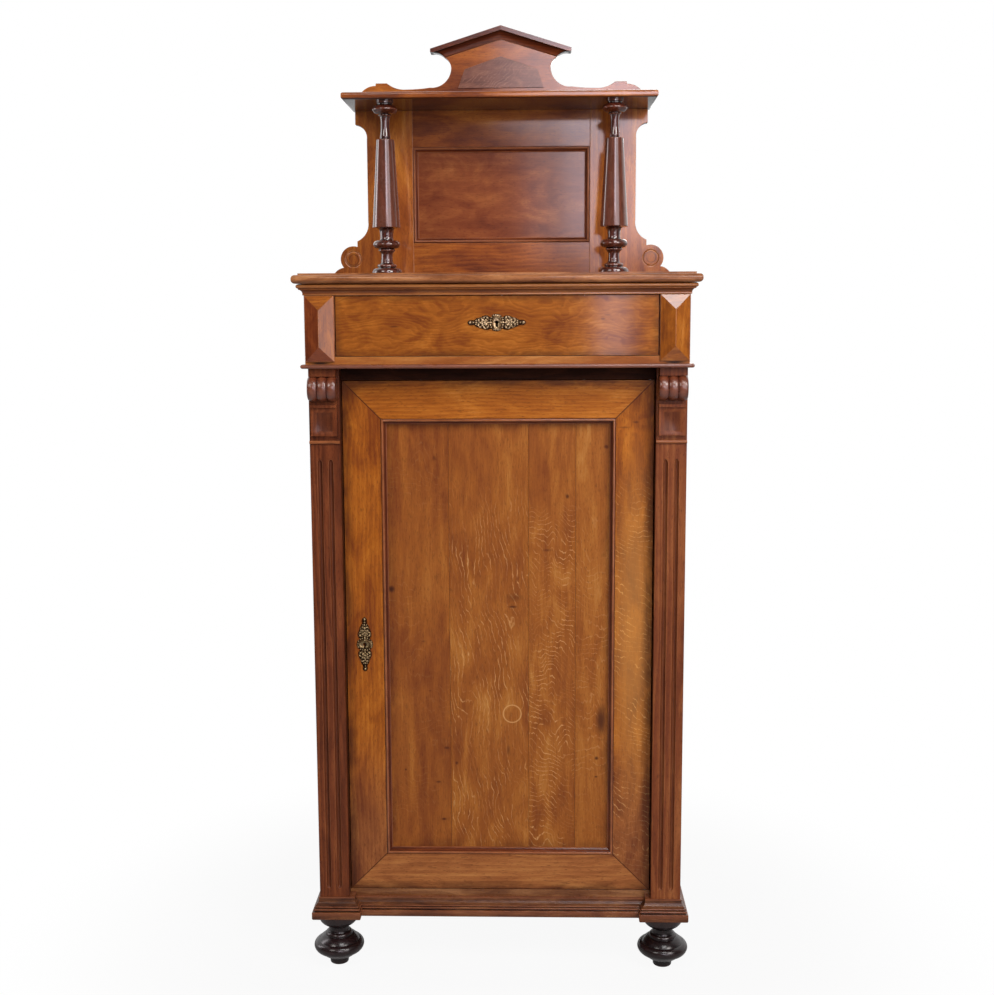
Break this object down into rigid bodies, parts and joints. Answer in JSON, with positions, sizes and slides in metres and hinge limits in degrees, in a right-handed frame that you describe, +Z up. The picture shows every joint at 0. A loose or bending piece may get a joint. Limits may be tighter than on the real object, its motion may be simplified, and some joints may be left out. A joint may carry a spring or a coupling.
{
  "type": "gallery cupboard",
  "caption": "Tall narrow oak cupboard with a pilastered case, a panelled door under a drawer, turned bun feet, and a columned gallery with a shelf and a pointed crest.",
  "frame": {"origin": "on the floor, under the middle of the outer box", "axes": "+Z up, the front looks along -Y, +X to the right seen from the front"},
  "size_m": [0.753, 0.46, 1.8935],
  "materials": {
    "golden_oak": "waxed",
    "figured_oak": "shellac polished",
    "red_stained_oak": "shellac polished",
    "dark_moulding": "shellac polished",
    "turned_hardwood": "high gloss shellac",
    "pine": "bare",
    "aged_brass": "patinated",
    "steel": "aged"
  },
  "bodies": {
    "case": {"head_rail": "golden_oak", "top_board": "golden_oak", "front_posts": "golden_oak", "floor_board": "golden_oak", "drawer_top_rail": "figured_oak", "section_stiles": "figured_oak", "gallery_panel": "figured_oak", "gallery_rails": "figured_oak", "gallery_stile_left": "figured_oak", "gallery_stile_right": "figured_oak", "gallery_shelf": "figured_oak", "crest_board": "figured_oak", "side_panels": "figured_oak", "pilaster_left": "red_stained_oak", "pilaster_right": "red_stained_oak", "corbel_left": "red_stained_oak", "corbel_right": "red_stained_oak", "plinth_front": "red_stained_oak", "plinth_block_left": "red_stained_oak", "plinth_block_right": "red_stained_oak", "plinth_sides": "red_stained_oak", "side_frame_left": "red_stained_oak", "side_frame_right": "red_stained_oak", "section_sides": "red_stained_oak", "section_floor": "red_stained_oak", "diamond_block_left": "red_stained_oak", "diamond_block_right": "red_stained_oak", "section_bead": "dark_moulding", "cornice_moulding": "dark_moulding", "gallery_moulding": "dark_moulding", "crest_cornice": "dark_moulding", "crest_plaque": "dark_moulding", "foot_front_left": "turned_hardwood", "foot_front_right": "turned_hardwood", "foot_rear_left": "turned_hardwood", "foot_rear_right": "turned_hardwood", "column_left": "turned_hardwood", "column_right": "turned_hardwood", "base_framing": "pine", "back_boards": "pine", "shelves": "pine", "shelf_cleats": "pine", "drawer_guides": "pine", "keepers": "steel"},
    "door": {"door_stiles": "golden_oak", "door_rails": "golden_oak", "door_panel": "figured_oak", "door_moulding": "dark_moulding", "door_escutcheon": "aged_brass", "door_lock": "steel", "door_pivots": "steel"},
    "door_bolt": {"door_bolt": "steel"},
    "drawer": {"drawer_front": "figured_oak", "drawer_sides": "pine", "drawer_back": "pine", "drawer_bottom": "pine", "drawer_escutcheon": "aged_brass", "drawer_lock": "steel"},
    "drawer_bolt": {"drawer_bolt": "steel"}
  },
  "joints": [
    {"name": "door_hinge", "type": "hinge", "parent": "case", "child": "door", "pos_m": [0.2885, -0.15, 0.66], "axis": [0, 0, 1], "range_deg": [0, 95]},
    {"name": "door_bolt_slide", "type": "slide", "parent": "door", "child": "door_bolt", "axis": [-1, 0, 0], "range_m": [0, 0.01]},
    {"name": "drawer_slide", "type": "slide", "parent": "case", "child": "drawer", "axis": [0, -1, 0], "range_m": [0, 0.3]},
    {"name": "drawer_bolt_slide", "type": "slide", "parent": "drawer", "child": "drawer_bolt", "axis": [0, 0, 1], "range_m": [0, 0.01]}
  ]
}
